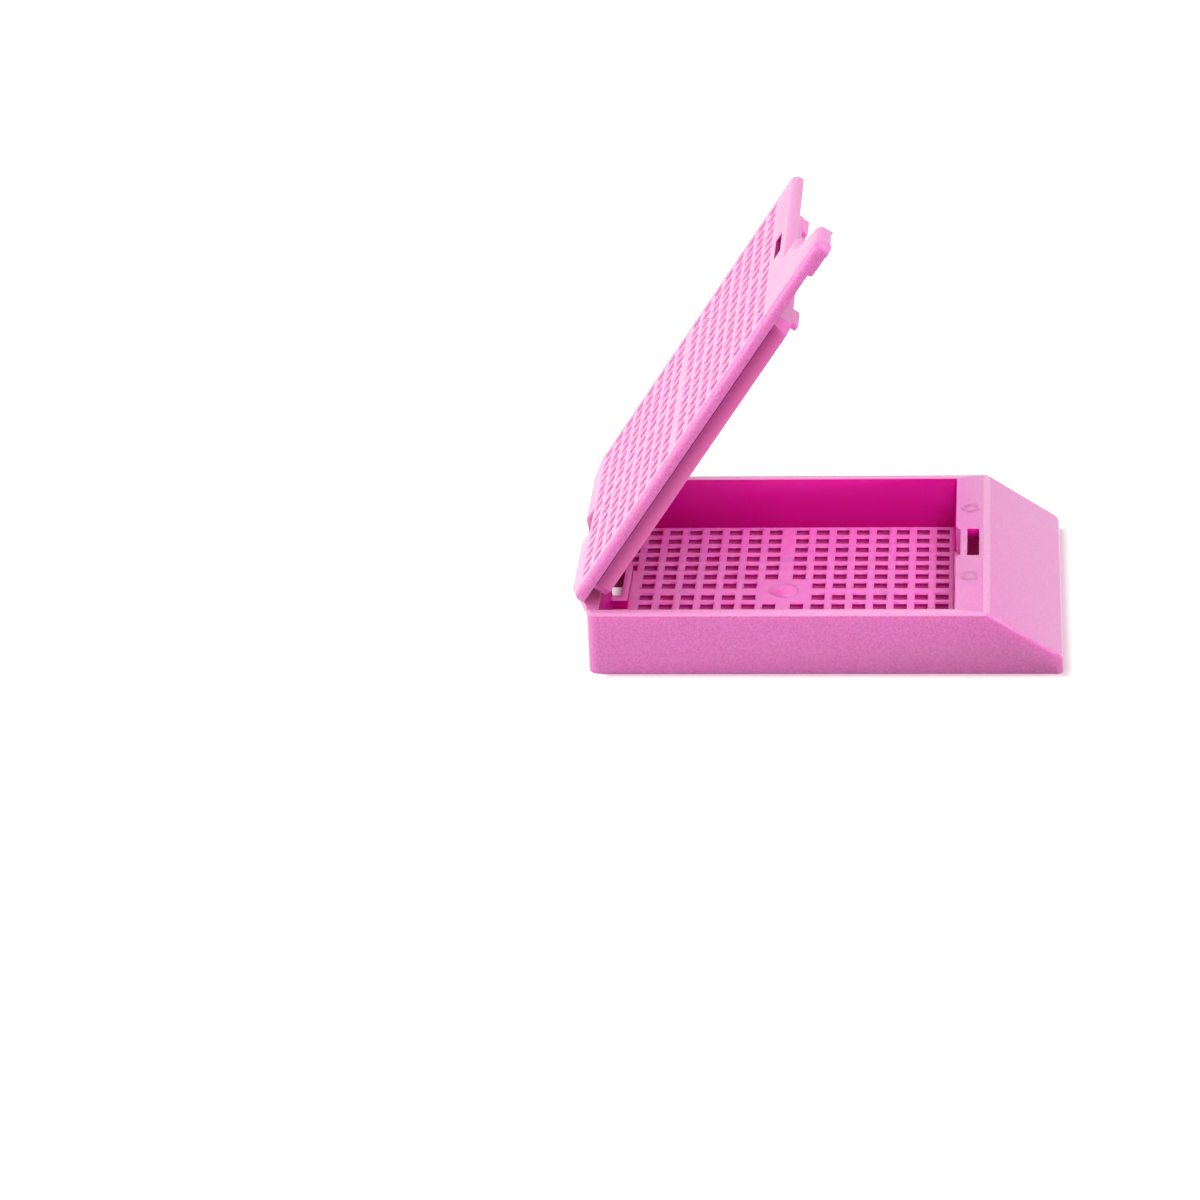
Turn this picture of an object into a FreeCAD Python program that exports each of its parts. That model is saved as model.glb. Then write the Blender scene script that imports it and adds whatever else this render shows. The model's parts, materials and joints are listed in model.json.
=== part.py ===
import FreeCAD, Part
import os

import Sketcher

# Hinged tissue cassette: a perforated tray with a sloped writing face, and a perforated lid
# on a living hinge along the tray's back edge.
#
# Frame: X across the width, +Y towards the hinge, -Y towards the writing face, Z up.
# The origin is the middle of the tray's footprint, on its underside.
# "Reach" is a distance from the hinge line towards the writing face. It holds for the tray
# and for the closed lid alike, so the two share their grids, slots and hooks.
# "Half" is a distance from the middle plane X = 0.

SIZES = {
    # tray, outside
    "tray_width": 28.5,
    "tray_length": 41.05,
    "rim_height": 5.8,
    "shelf_depth": 2.75,
    "slope_run": 6.55,
    "lip_height": 1.45,
    "back_corner_radius": 1.0,
    "front_corner_radius": 0.55,
    "rim_chamfer": 0.18,
    # tray, walls
    "side_wall": 0.9,
    "back_wall": 1.01,
    "front_slot_wall": 1.0,
    "hollow_wall": 0.8,
    "skin": 1.0,
    "wall_draft": 3.5,
    # floor and its grid, which the lid repeats
    "floor_thickness": 1.0,
    "hole_side": 1.15,
    "hole_pitch": 1.84,
    "middle_pitch_x": 2.33,
    "middle_pitch_y": 2.48,
    "columns_each_side": 7,
    "rows_each_half": 8,
    "dome_radius": 1.25,
    "dome_rise": 0.4,
    # living hinge
    "flange_reach": 0.85,
    "flange_shoulder_reach": 0.75,
    "flange_thickness": 0.8,
    "web_thickness": 0.3,
    "hinge_tip_half": 10.75,
    "flange_shoulder_half": 12.5,
    "flange_root_half": 13.2,
    "bead_gap": 0.01,
    # catches of the tray
    "front_slot_length": 5.44,
    "front_slot_width": 1.05,
    "rear_slot_length": 5.28,
    "rear_slot_front": 2.87,
    "rear_slot_back": 1.15,
    "rear_lip": 0.9,
    "frame_side": 1.0,
    "frame_front": 0.6,
    "frame_rise": 0.9,
    "notch_top_half": 3.1,
    "notch_low_half": 2.55,
    "notch_depth": 0.4,
    "notch_height": 2.5,
    # lid plate
    "lid_thickness": 1.0,
    "seat_gap": 0.03,
    "lid_reach": 34.95,
    "step_reach": 36.9,
    "tab_reach": 40.55,
    "step_width": 9.4,
    "tab_root_width": 6.35,
    "tab_end_width": 4.15,
    "lid_shoulder_inset": 0.35,
    "lid_shoulder_reach": 1.15,
    "lid_shoulder_side_reach": 1.75,
    "lid_corner_radius": 0.8,
    "lid_inner_radius": 1.0,
    "lid_edge_radius": 0.7,
    "tab_pad_thickness": 0.42,
    "tab_pad_length": 3.05,
    # lid rim and its catches
    "rim_clearance": 0.22,
    "hook_clearance": 0.12,
    "lid_rim_wall": 0.55,
    "lid_rim_depth": 1.6,
    "lid_rim_radius": 0.9,
    "rim_break_half": 4.0,
    "lug_length": 3.1,
    "lug_centre_half": 10.4,
    "lug_depth": 2.2,
    "tongue_half": 1.98,
    "tongue_step": 0.25,
    "hook_length": 3.87,
    "hook_thickness": 0.66,
    "hook_depth": 2.2,
    "front_barb": 0.22,
    "front_barb_top": 1.15,
    "rear_barb": 0.72,
    "rear_barb_top": 1.75,
    "barb_base": 0.25,
    "lid_front_slot_length": 4.34,
    "lid_front_slot_width": 0.95,
    "lid_rear_slot_length": 4.8,
    # pose at rest
    "open_angle": 56.5,
}

# Lengths worked out from the sizes above, as expressions.
HALF = "Sizes.tray_width / 2"
BACK = "Sizes.flange_reach"
CAVITY_BACK = "(Sizes.flange_reach + Sizes.back_wall)"
FRONT = "(Sizes.flange_reach + Sizes.tray_length)"
SHELF_END = "(Sizes.flange_reach + Sizes.tray_length - Sizes.slope_run)"
CAVITY_FRONT = "(Sizes.flange_reach + Sizes.tray_length - Sizes.slope_run - Sizes.shelf_depth)"
CAVITY_HALF = "(Sizes.tray_width / 2 - Sizes.side_wall)"
GRID_CENTRE = "((%s + %s) / 2)" % (CAVITY_BACK, CAVITY_FRONT)
HINGE = "(Sizes.tray_length / 2 + Sizes.flange_reach)"
SLOT_BACK = "(%s + Sizes.front_slot_wall)" % CAVITY_FRONT
SLOT_FRONT = "(%s + Sizes.front_slot_width)" % SLOT_BACK
BEAD_RADIUS = "Sizes.web_thickness / 2"
RIM_OUT_HALF = "(%s - Sizes.rim_clearance)" % CAVITY_HALF
RIM_BACK = "(%s + Sizes.rim_clearance)" % CAVITY_BACK
RIM_FRONT = "(%s - Sizes.rim_clearance)" % CAVITY_FRONT
FRONT_HOOK_BACK = "(%s + Sizes.hook_clearance)" % SLOT_BACK
REAR_HOOK_FRONT = "(Sizes.rear_slot_front - Sizes.hook_clearance)"
REAR_HOOK_BACK = "(%s - Sizes.hook_thickness)" % REAR_HOOK_FRONT

# How much the writing slope falls for each millimetre of run.
SLOPE_FALL = "((Sizes.rim_height - Sizes.lip_height) / Sizes.slope_run)"

# A little more than a cut needs, so that it runs clear of the face it starts from.
OVERRUN = 0.5
# How far a pad is sunk into the solid that carries it.
ROOT = 0.05
SAME_PLACE = 1e-4

doc = FreeCAD.newDocument("TissueCassette")


def make_sheet():
    sheet = doc.addObject("Spreadsheet::Sheet", "Sizes")
    for row, (name, value) in enumerate(SIZES.items(), start=1):
        sheet.set("A%d" % row, name)
        sheet.set("B%d" % row, str(value))
        sheet.setAlias("B%d" % row, name)
    doc.recompute()
    return sheet


def value(text):
    """The number that an expression in the sheet's sizes gives."""
    result = sheet.evalExpression(text.replace("Sizes.", ""))
    return float(getattr(result, "Value", result))


def origin_part(body, role):
    return next(part for part in body.Origin.OriginFeatures if part.Role == role)


def new_sketch(body, name, plane, offset="0"):
    sketch = body.newObject("Sketcher::SketchObject", name)
    sketch.AttachmentSupport = [(origin_part(body, plane), "")]
    sketch.MapMode = "FlatFace"
    sketch.setExpression(".AttachmentOffset.Base.z", offset)
    return sketch


def bind_point(sketch, geometry, end, point):
    """Ties one end of a curve to a pair of expressions."""
    for kind, text in zip(("DistanceX", "DistanceY"), point):
        rule = Sketcher.Constraint(kind, -1, 1, geometry, end, value(text))
        number = sketch.addConstraint(rule)
        sketch.setExpression("Constraints[%d]" % number, text)


def add_polygon(sketch, points):
    corners = [FreeCAD.Vector(value(across), value(up), 0) for across, up in points]
    first = sketch.GeometryCount
    for start, end in zip(corners, corners[1:] + corners[:1]):
        sketch.addGeometry(Part.LineSegment(start, end))
    for number, point in enumerate(points):
        previous = (number - 1) % len(points)
        joined = Sketcher.Constraint("Coincident", first + previous, 2, first + number, 1)
        sketch.addConstraint(joined)
        bind_point(sketch, first + number, 1, point)


def add_rectangle(sketch, left, right, low, high):
    add_polygon(sketch, [(left, low), (right, low), (right, high), (left, high)])


def add_circle(sketch, centre, radius):
    middle = FreeCAD.Vector(value(centre[0]), value(centre[1]), 0)
    number = sketch.addGeometry(Part.Circle(middle, FreeCAD.Vector(0, 0, 1), value(radius)))
    bind_point(sketch, number, 3, centre)
    rule = sketch.addConstraint(Sketcher.Constraint("Radius", number, value(radius)))
    sketch.setExpression("Constraints[%d]" % rule, radius)


def pad(body, sketch, length, up=True, symmetric=False, taper=None):
    feature = body.newObject("PartDesign::Pad", sketch.Name + "_pad")
    return finish_extrusion(feature, sketch, length, not up, symmetric, taper)


def pocket(body, sketch, length, up=False, symmetric=False, taper=None):
    """Cuts down from its sketch, or up."""
    feature = body.newObject("PartDesign::Pocket", sketch.Name + "_cut")
    return finish_extrusion(feature, sketch, length, up, symmetric, taper)


def finish_extrusion(feature, sketch, length, reverse, symmetric, taper):
    feature.Profile = sketch
    feature.Reversed = reverse
    feature.AllowMultiFace = True
    if symmetric:
        feature.SideType = "Symmetric"
    feature.setExpression("Length", length)
    if taper:
        feature.setExpression("TaperAngle", taper)
    sketch.Visibility = False
    doc.recompute()
    return feature


def dress_edges(body, kind, name, size, wanted):
    """Rounds or chamfers each edge of the body's last feature that the given test wants."""
    base = body.Tip
    found = ["Edge%d" % (number + 1) for number, edge in enumerate(base.Shape.Edges)
             if wanted(edge)]
    feature = body.newObject("PartDesign::" + kind, name)
    feature.Base = (base, found)
    feature.setExpression({"Fillet": "Radius", "Chamfer": "Size"}[kind], size)
    doc.recompute()
    return feature


def same(first, second):
    return abs(first - second) < SAME_PLACE


def upright_at(corners):
    """A test for the upright edges that stand at the given corners."""
    places = [(value(across), value(along)) for across, along in corners]

    def wanted(edge):
        box = edge.BoundBox
        upright = box.XLength < SAME_PLACE and box.YLength < SAME_PLACE
        return upright and any(same(box.XMin, x) and same(box.YMin, y) for x, y in places)

    return wanted


def at(reach):
    """Where a reach lies along Y in the tray's frame."""
    return "(%s - (%s))" % (HINGE, reach)


def lid_at(reach):
    """Where a reach lies along Y in the lid's own frame, whose origin is the hinge line."""
    return "(-(%s))" % reach


def holes(body, name, place, low, high, cells, columns=1, rows=1):
    """Square holes through a sheet: a few cells, repeated, then mirrored about X = 0.

    A cell is a column and a row. Columns count from 1 beside the middle, rows from 1
    beside the hinge. The holes run from the height low to the height high.
    """
    half = int(value("Sizes.rows_each_half"))
    edge = "Sizes.hole_side / 2"
    sketch = new_sketch(body, name, "XY_Plane", low)
    for column, row in cells:
        if row <= half:
            pitches = "(0 - Sizes.middle_pitch_y / 2 - %d * Sizes.hole_pitch)" % (half - row)
        else:
            pitches = "(Sizes.middle_pitch_y / 2 + %d * Sizes.hole_pitch)" % (row - half - 1)
        across = "Sizes.middle_pitch_x / 2 + %d * Sizes.hole_pitch" % (column - 1)
        along = place("%s + %s" % (GRID_CENTRE, pitches))
        add_rectangle(sketch, "%s - %s" % (across, edge), "%s + %s" % (across, edge),
                      "%s - %s" % (along, edge), "%s + %s" % (along, edge))
    cut = pocket(body, sketch, "%s - (%s)" % (high, low), up=True)
    steps = []
    for axis, count, reverse in (("X_Axis", columns, False), ("Y_Axis", rows, True)):
        if count > 1:
            step = body.newObject("PartDesign::LinearPattern", "%s_%s" % (name, axis))
            step.Direction = (origin_part(body, axis), [""])
            step.Reversed = reverse
            step.Mode = "Spacing"
            step.setExpression("Offset", "Sizes.hole_pitch")
            step.Occurrences = count
            steps.append(step)
    mirror = body.newObject("PartDesign::Mirrored", name + "_mirror")
    mirror.MirrorPlane = (origin_part(body, "YZ_Plane"), [""])
    grid = body.newObject("PartDesign::MultiTransform", name + "_grid")
    grid.Originals = [cut]
    grid.Transformations = steps + [mirror]
    body.Tip = grid
    doc.recompute()
    return grid


def make_tray():
    body = doc.addObject("PartDesign::Body", "base")
    body.Label = "base"
    tray_block(body)
    tray_cavity(body)
    hinge_flange(body)
    tray_catches(body)
    floor_dome(body)
    tray_holes(body)
    return body


def tray_block(body):
    """The outer block: back, rim, shelf, writing slope and the lip below it."""
    lip = "(Sizes.rim_height - Sizes.slope_run * %s)" % SLOPE_FALL
    profile = new_sketch(body, "tray_profile", "YZ_Plane")
    add_polygon(profile, [
        (at(BACK), "0"),
        (at(BACK), "Sizes.rim_height"),
        (at(SHELF_END), "Sizes.rim_height"),
        (at(FRONT), lip),
        (at(FRONT), "0"),
    ])
    pad(body, profile, "Sizes.tray_width", symmetric=True)
    back = [(side + HALF, at(BACK)) for side in ("-", "")]
    front = [(side + HALF, at(FRONT)) for side in ("-", "")]
    dress_edges(body, "Fillet", "back_corners", "Sizes.back_corner_radius", upright_at(back))
    dress_edges(body, "Fillet", "front_corners", "Sizes.front_corner_radius", upright_at(front))
    lip_top = value(lip)

    def outer(edge):
        box = edge.BoundBox
        upright = box.XLength < SAME_PLACE and box.YLength < SAME_PLACE
        crease = same(box.YMin, value(at(SHELF_END))) and box.YLength < SAME_PLACE
        return box.ZMin > lip_top - SAME_PLACE and not upright and not crease

    dress_edges(body, "Chamfer", "outer_edges", "Sizes.rim_chamfer", outer)


def tray_cavity(body):
    """The specimen chamber, with drafted walls, and the hollow under the writing slope."""
    chamber = new_sketch(body, "chamber", "XY_Plane", "Sizes.rim_height")
    add_rectangle(chamber, "-" + CAVITY_HALF, CAVITY_HALF, at(CAVITY_FRONT), at(CAVITY_BACK))
    pocket(body, chamber, "Sizes.rim_height - Sizes.floor_thickness", taper="-Sizes.wall_draft")
    # The skin keeps its thickness square to the slope, so its underside is steeper in Z.
    drop = "(Sizes.skin * sqrt(1 + %s * %s))" % (SLOPE_FALL, SLOPE_FALL)
    knee = "(%s - (%s - Sizes.skin) / %s)" % (SHELF_END, drop, SLOPE_FALL)
    toe = "(%s - Sizes.skin)" % FRONT
    hollow_back = "(%s + Sizes.hollow_wall)" % CAVITY_FRONT
    toe_height = "(Sizes.rim_height - %s - (%s - %s) * %s)" % (drop, toe, SHELF_END, SLOPE_FALL)
    hollow = new_sketch(body, "slope_hollow", "YZ_Plane")
    add_polygon(hollow, [
        (at(hollow_back), "-%s" % OVERRUN),
        (at(hollow_back), "Sizes.rim_height - Sizes.skin"),
        (at(knee), "Sizes.rim_height - Sizes.skin"),
        (at(toe), toe_height),
        (at(toe), "-%s" % OVERRUN),
    ])
    pocket(body, hollow, "Sizes.tray_width - 2 * Sizes.side_wall", symmetric=True)


def hinge_flange(body):
    """The flange behind the rim, its bevel, and the round web along the hinge line."""
    flange = new_sketch(body, "flange", "XY_Plane", "Sizes.rim_height")
    shoulder = "Sizes.flange_shoulder_reach"
    add_polygon(flange, [
        ("-Sizes.hinge_tip_half", at("0")),
        ("-Sizes.flange_shoulder_half", at(shoulder)),
        ("-Sizes.flange_root_half", at(BACK)),
        ("-Sizes.flange_root_half", at("(%s + Sizes.back_wall / 2)" % BACK)),
        ("Sizes.flange_root_half", at("(%s + Sizes.back_wall / 2)" % BACK)),
        ("Sizes.flange_root_half", at(BACK)),
        ("Sizes.flange_shoulder_half", at(shoulder)),
        ("Sizes.hinge_tip_half", at("0")),
    ])
    pad(body, flange, "Sizes.flange_thickness", up=False)
    bevel = new_sketch(body, "flange_bevel", "YZ_Plane")
    slant = "(Sizes.flange_thickness - Sizes.web_thickness)"
    beyond = "(0 - %s)" % OVERRUN
    add_polygon(bevel, [
        (at(beyond), "Sizes.rim_height - Sizes.web_thickness"),
        (at("0"), "Sizes.rim_height - Sizes.web_thickness"),
        (at(slant), "Sizes.rim_height - Sizes.flange_thickness"),
        (at(slant), "Sizes.rim_height - Sizes.flange_thickness - %s" % OVERRUN),
        (at(beyond), "Sizes.rim_height - Sizes.flange_thickness - %s" % OVERRUN),
    ])
    pocket(body, bevel, "2 * Sizes.hinge_tip_half + 4 * Sizes.flange_reach", symmetric=True)
    web = new_sketch(body, "hinge_web", "YZ_Plane")
    add_circle(web, (at("0"), "Sizes.rim_height"), BEAD_RADIUS)
    pad(body, web, "2 * Sizes.hinge_tip_half", symmetric=True)


def tray_catches(body):
    """The slots that take the lid's hooks, and the notch for its tongue."""
    frame = new_sketch(body, "rear_frame", "XY_Plane", "Sizes.floor_thickness - %s" % ROOT)
    frame_half = "(Sizes.rear_slot_length / 2 + Sizes.frame_side)"
    frame_reach = "(Sizes.rear_slot_front + Sizes.frame_front)"
    add_rectangle(frame, "-" + frame_half, frame_half, at(frame_reach), at(CAVITY_BACK))
    pad(body, frame, "Sizes.frame_rise + %s" % ROOT)
    rear = new_sketch(body, "rear_slot", "XY_Plane", "-%s" % OVERRUN)
    rear_half = "Sizes.rear_slot_length / 2"
    add_rectangle(rear, "-" + rear_half, rear_half,
                  at("Sizes.rear_slot_front"), at("Sizes.rear_slot_back"))
    pocket(body, rear, "Sizes.rim_height - Sizes.rear_lip + %s" % OVERRUN, up=True)
    slot = new_sketch(body, "front_slot", "XY_Plane", "Sizes.rim_height + %s" % OVERRUN)
    slot_half = "Sizes.front_slot_length / 2"
    add_rectangle(slot, "-" + slot_half, slot_half, at(SLOT_FRONT), at(SLOT_BACK))
    pocket(body, slot, "Sizes.skin + 2 * %s" % OVERRUN)
    notch = new_sketch(body, "front_notch", "XY_Plane", "Sizes.rim_height + %s" % OVERRUN)
    add_polygon(notch, [
        ("-Sizes.notch_top_half", at("(%s - %s)" % (CAVITY_FRONT, OVERRUN))),
        ("-Sizes.notch_top_half", at(CAVITY_FRONT)),
        ("-Sizes.notch_low_half", at("(%s + Sizes.notch_depth)" % CAVITY_FRONT)),
        ("Sizes.notch_low_half", at("(%s + Sizes.notch_depth)" % CAVITY_FRONT)),
        ("Sizes.notch_top_half", at(CAVITY_FRONT)),
        ("Sizes.notch_top_half", at("(%s - %s)" % (CAVITY_FRONT, OVERRUN))),
    ])
    pocket(body, notch, "Sizes.notch_height + %s" % OVERRUN)


def tray_holes(body):
    """The holes of the floor. The middle columns give way to the rear frame and the dome."""
    columns = int(value("Sizes.columns_each_side"))
    half = int(value("Sizes.rows_each_half"))
    middle = 2
    outer = middle + 1
    low = "(0 - %s)" % OVERRUN
    high = "(Sizes.floor_thickness + %s)" % OVERRUN
    both_halves = [(outer, 1), (outer, half + 1)]
    holes(body, "outer_holes", at, low, high, both_halves, columns - middle, half)
    both_halves = [(1, 2), (1, half + 2)]
    holes(body, "middle_holes", at, low, high, both_halves, middle, half - 2)
    beside_dome = [(middle, half), (middle, half + 1)]
    front_row = [(1, 2 * half), (middle, 2 * half)]
    holes(body, "single_holes", at, low, high, beside_dome + front_row)


def floor_dome(body):
    """The low round boss in the middle of the floor: the cap of a ball."""
    ball = "((Sizes.dome_radius ^ 2 / Sizes.dome_rise + Sizes.dome_rise) / 2)"
    dome = body.newObject("PartDesign::AdditiveSphere", "dome")
    dome.AttachmentSupport = [(origin_part(body, "XY_Plane"), "")]
    dome.MapMode = "FlatFace"
    dome.setExpression(".AttachmentOffset.Base.y", at(GRID_CENTRE))
    dome.setExpression(".AttachmentOffset.Base.z",
                       "Sizes.floor_thickness + Sizes.dome_rise - %s" % ball)
    dome.setExpression("Radius", ball)
    dome.setExpression("Angle1", "acos(Sizes.dome_radius / %s)" % ball)
    doc.recompute()


def make_lid():
    body = doc.addObject("PartDesign::Body", "lid")
    body.Label = "lid"
    lid_plate(body)
    lid_rim(body)
    lid_slots(body)
    lid_hooks(body)
    lid_holes(body)
    body.setExpression(".Placement.Base.y", HINGE)
    body.setExpression(".Placement.Base.z", "Sizes.rim_height")
    body.Placement.Rotation = FreeCAD.Rotation(FreeCAD.Vector(1, 0, 0), -1)
    body.setExpression(".Placement.Rotation.Angle", "-Sizes.open_angle")
    doc.recompute()
    return body


def lid_plate(body):
    """The plate, bevelled towards the hinge, with its finger tab, which is thicker at its end."""
    shoulder_half = "(%s - Sizes.lid_shoulder_inset)" % HALF
    step_half = "(%s - Sizes.step_width)" % HALF
    root_half = "(%s - Sizes.tab_root_width)" % HALF
    end_half = "(%s - Sizes.tab_end_width)" % HALF
    corners = [
        ("-Sizes.hinge_tip_half", lid_at("0")),
        ("-" + shoulder_half, lid_at("Sizes.lid_shoulder_reach")),
        ("-" + HALF, lid_at("Sizes.lid_shoulder_side_reach")),
        ("-" + HALF, lid_at("Sizes.tab_reach")),
        ("-" + end_half, lid_at("Sizes.tab_reach")),
        ("-" + root_half, lid_at("Sizes.step_reach")),
        ("-" + step_half, lid_at("Sizes.step_reach")),
        ("-" + step_half, lid_at("Sizes.lid_reach")),
        (HALF, lid_at("Sizes.lid_reach")),
        (HALF, lid_at("Sizes.lid_shoulder_side_reach")),
        (shoulder_half, lid_at("Sizes.lid_shoulder_reach")),
        ("Sizes.hinge_tip_half", lid_at("0")),
    ]
    plan = new_sketch(body, "lid_plan", "XY_Plane", "Sizes.seat_gap")
    add_polygon(plan, corners)
    pad(body, plan, "Sizes.lid_thickness")
    tab_left, tab_right, root, step, front = (corners[number] for number in (3, 4, 5, 6, 8))
    lean = "((Sizes.tab_root_width - Sizes.tab_end_width) / (Sizes.tab_reach - Sizes.step_reach))"
    pad_start = "(Sizes.tab_reach - Sizes.tab_pad_length)"
    pad_start_half = "(%s - Sizes.tab_end_width - Sizes.tab_pad_length * %s)" % (HALF, lean)

    def tab_pad(sketch):
        add_polygon(sketch, [
            tab_left,
            tab_right,
            ("-" + pad_start_half, lid_at(pad_start)),
            ("-" + HALF, lid_at(pad_start)),
        ])

    down_from_plate(body, "tab_pad", tab_pad, "(Sizes.tab_pad_thickness - Sizes.seat_gap)")
    outward = [tab_left, tab_right, step, front]
    dress_edges(body, "Fillet", "lid_corners", "Sizes.lid_corner_radius", upright_at(outward))
    dress_edges(body, "Fillet", "tab_root", "Sizes.lid_inner_radius", upright_at([root]))
    bevel = new_sketch(body, "lid_bevel", "YZ_Plane")
    top = "(Sizes.seat_gap + Sizes.lid_thickness)"
    slant = "(%s - Sizes.web_thickness)" % top
    add_polygon(bevel, [
        (lid_at("-%s" % OVERRUN), "Sizes.web_thickness"),
        (lid_at("0"), "Sizes.web_thickness"),
        (lid_at(slant), top),
        (lid_at(slant), "%s + %s" % (top, OVERRUN)),
        (lid_at("-%s" % OVERRUN), "%s + %s" % (top, OVERRUN)),
    ])
    pocket(body, bevel, "2 * Sizes.hinge_tip_half + 4 * Sizes.lid_shoulder_reach", symmetric=True)
    height = value(top)
    start = value(lid_at(slant))

    def plate_edge(edge):
        box = edge.BoundBox
        level = same(box.ZMin, height) and same(box.ZMax, height)
        bevel_edge = same(box.YMin, start) and same(box.YMax, start)
        return level and not bevel_edge

    dress_edges(body, "Fillet", "lid_edges", "Sizes.lid_edge_radius", plate_edge)
    clear = new_sketch(body, "web_groove", "YZ_Plane")
    add_circle(clear, (lid_at("0"), "0"), "(%s + Sizes.bead_gap)" % BEAD_RADIUS)
    pocket(body, clear, "2 * Sizes.hinge_tip_half + 2 * Sizes.flange_reach", symmetric=True)


def lid_holes(body):
    """The holes of the plate. The rim below narrows the outermost ones a little."""
    columns = int(value("Sizes.columns_each_side"))
    half = int(value("Sizes.rows_each_half"))
    high = "(Sizes.seat_gap + Sizes.lid_thickness + %s)" % OVERRUN
    both_halves = [(1, 1), (1, half + 1)]
    holes(body, "lid_holes", lid_at, "Sizes.seat_gap", high, both_halves, columns, half)


def down_from_plate(body, name, draw, depth):
    """Pads a drawn outline down from the plate's inner face."""
    sketch = new_sketch(body, name, "XY_Plane", "Sizes.seat_gap + %s" % ROOT)
    draw(sketch)
    return pad(body, sketch, "%s + Sizes.seat_gap + %s" % (depth, ROOT), up=False)


def lid_rim(body):
    """The rim that drops inside the tray, with its lugs and tongue."""
    in_half = "(%s - Sizes.lid_rim_wall)" % RIM_OUT_HALF
    in_back = "(%s + Sizes.lid_rim_wall)" % RIM_BACK
    in_front = "(%s - Sizes.lid_rim_wall)" % RIM_FRONT
    chamfer = "Sizes.lid_rim_radius"

    def rim(sketch):
        # One open band, drawn round from one end of its rear break to the other.
        add_polygon(sketch, [
            ("Sizes.rim_break_half", lid_at(RIM_BACK)),
            ("%s - %s" % (RIM_OUT_HALF, chamfer), lid_at(RIM_BACK)),
            (RIM_OUT_HALF, lid_at("%s + %s" % (RIM_BACK, chamfer))),
            (RIM_OUT_HALF, lid_at("%s - %s" % (RIM_FRONT, chamfer))),
            ("%s - %s" % (RIM_OUT_HALF, chamfer), lid_at(RIM_FRONT)),
            ("-(%s - %s)" % (RIM_OUT_HALF, chamfer), lid_at(RIM_FRONT)),
            ("-" + RIM_OUT_HALF, lid_at("%s - %s" % (RIM_FRONT, chamfer))),
            ("-" + RIM_OUT_HALF, lid_at("%s + %s" % (RIM_BACK, chamfer))),
            ("-(%s - %s)" % (RIM_OUT_HALF, chamfer), lid_at(RIM_BACK)),
            ("-Sizes.rim_break_half", lid_at(RIM_BACK)),
            ("-Sizes.rim_break_half", lid_at(in_back)),
            ("-" + in_half, lid_at(in_back)),
            ("-" + in_half, lid_at(in_front)),
            (in_half, lid_at(in_front)),
            (in_half, lid_at(in_back)),
            ("Sizes.rim_break_half", lid_at(in_back)),
        ])

    def lugs(sketch):
        for side in ("-", ""):
            add_rectangle(sketch, "%sSizes.lug_centre_half - Sizes.lug_length / 2" % side,
                          "%sSizes.lug_centre_half + Sizes.lug_length / 2" % side,
                          lid_at(RIM_FRONT), lid_at(in_front))

    def tongue(sketch):
        add_rectangle(sketch, "-Sizes.tongue_half", "Sizes.tongue_half",
                      lid_at("%s + Sizes.tongue_step" % RIM_FRONT), lid_at(in_front))

    down_from_plate(body, "lid_rim", rim, "Sizes.lid_rim_depth")
    down_from_plate(body, "lid_lugs", lugs, "Sizes.lug_depth")
    down_from_plate(body, "lid_tongue", tongue, "Sizes.lug_depth")

def hook(body, name, back, front, barb, barb_top):
    """A hook seen from the side: a leg with a barb that points at the hinge."""
    top = "Sizes.seat_gap + %s" % ROOT
    tip = "(%s - %s)" % (back, barb)
    sketch = new_sketch(body, name, "YZ_Plane")
    add_polygon(sketch, [
        (lid_at(front), top),
        (lid_at(front), "-Sizes.hook_depth"),
        (lid_at("(%s + Sizes.barb_base)" % tip), "-Sizes.hook_depth"),
        (lid_at(tip), "-Sizes.hook_depth + Sizes.barb_base"),
        (lid_at(tip), "-(%s)" % barb_top),
        (lid_at(back), "-(%s) + %s / 2" % (barb_top, barb)),
        (lid_at(back), top),
    ])
    return pad(body, sketch, "Sizes.hook_length", symmetric=True)


def lid_slots(body):
    """The slots through the plate over the barbs of the two hooks."""
    through = "(Sizes.seat_gap + Sizes.lid_thickness + 2 * %s)" % OVERRUN
    front = new_sketch(body, "lid_front_slot", "XY_Plane", "-%s" % OVERRUN)
    front_half = "Sizes.lid_front_slot_length / 2"
    slot_back = "(%s - Sizes.lid_front_slot_width)" % FRONT_HOOK_BACK
    add_rectangle(front, "-" + front_half, front_half,
                  lid_at(FRONT_HOOK_BACK), lid_at(slot_back))
    pocket(body, front, through, up=True)
    rear = new_sketch(body, "lid_rear_slot", "XY_Plane", "-%s" % OVERRUN)
    rear_half = "Sizes.lid_rear_slot_length / 2"
    add_rectangle(rear, "-" + rear_half, rear_half,
                  lid_at(REAR_HOOK_BACK), lid_at("-%s" % OVERRUN))
    pocket(body, rear, through, up=True)


def lid_hooks(body):
    """The two central hooks that hold the closed lid."""
    front_end = "(%s + Sizes.hook_thickness)" % FRONT_HOOK_BACK
    hook(body, "front_hook", FRONT_HOOK_BACK, front_end, "Sizes.front_barb",
         "Sizes.front_barb_top")
    hook(body, "rear_hook", REAR_HOOK_BACK, REAR_HOOK_FRONT, "Sizes.rear_barb",
         "Sizes.rear_barb_top")


def check_and_export(bodies):
    for item in doc.Objects:
        if "Invalid" in item.State or "Error" in item.State:
            raise RuntimeError("%s failed: %s" % (item.Name, item.State))
    for body in bodies:
        shape = body.Shape
        if shape.isNull() or not shape.isValid() or len(shape.Solids) != 1:
            raise RuntimeError("%s is not one valid solid" % body.Label)
    os.makedirs("parts", exist_ok=True)
    for body in bodies:
        shape = body.Shape
        shape.exportStep("parts/%s.step" % body.Label)
        box = shape.BoundBox
        print("%s: %.1f mm3, %.2f x %.2f x %.2f mm"
              % (body.Label, shape.Volume, box.XLength, box.YLength, box.ZLength))


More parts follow.
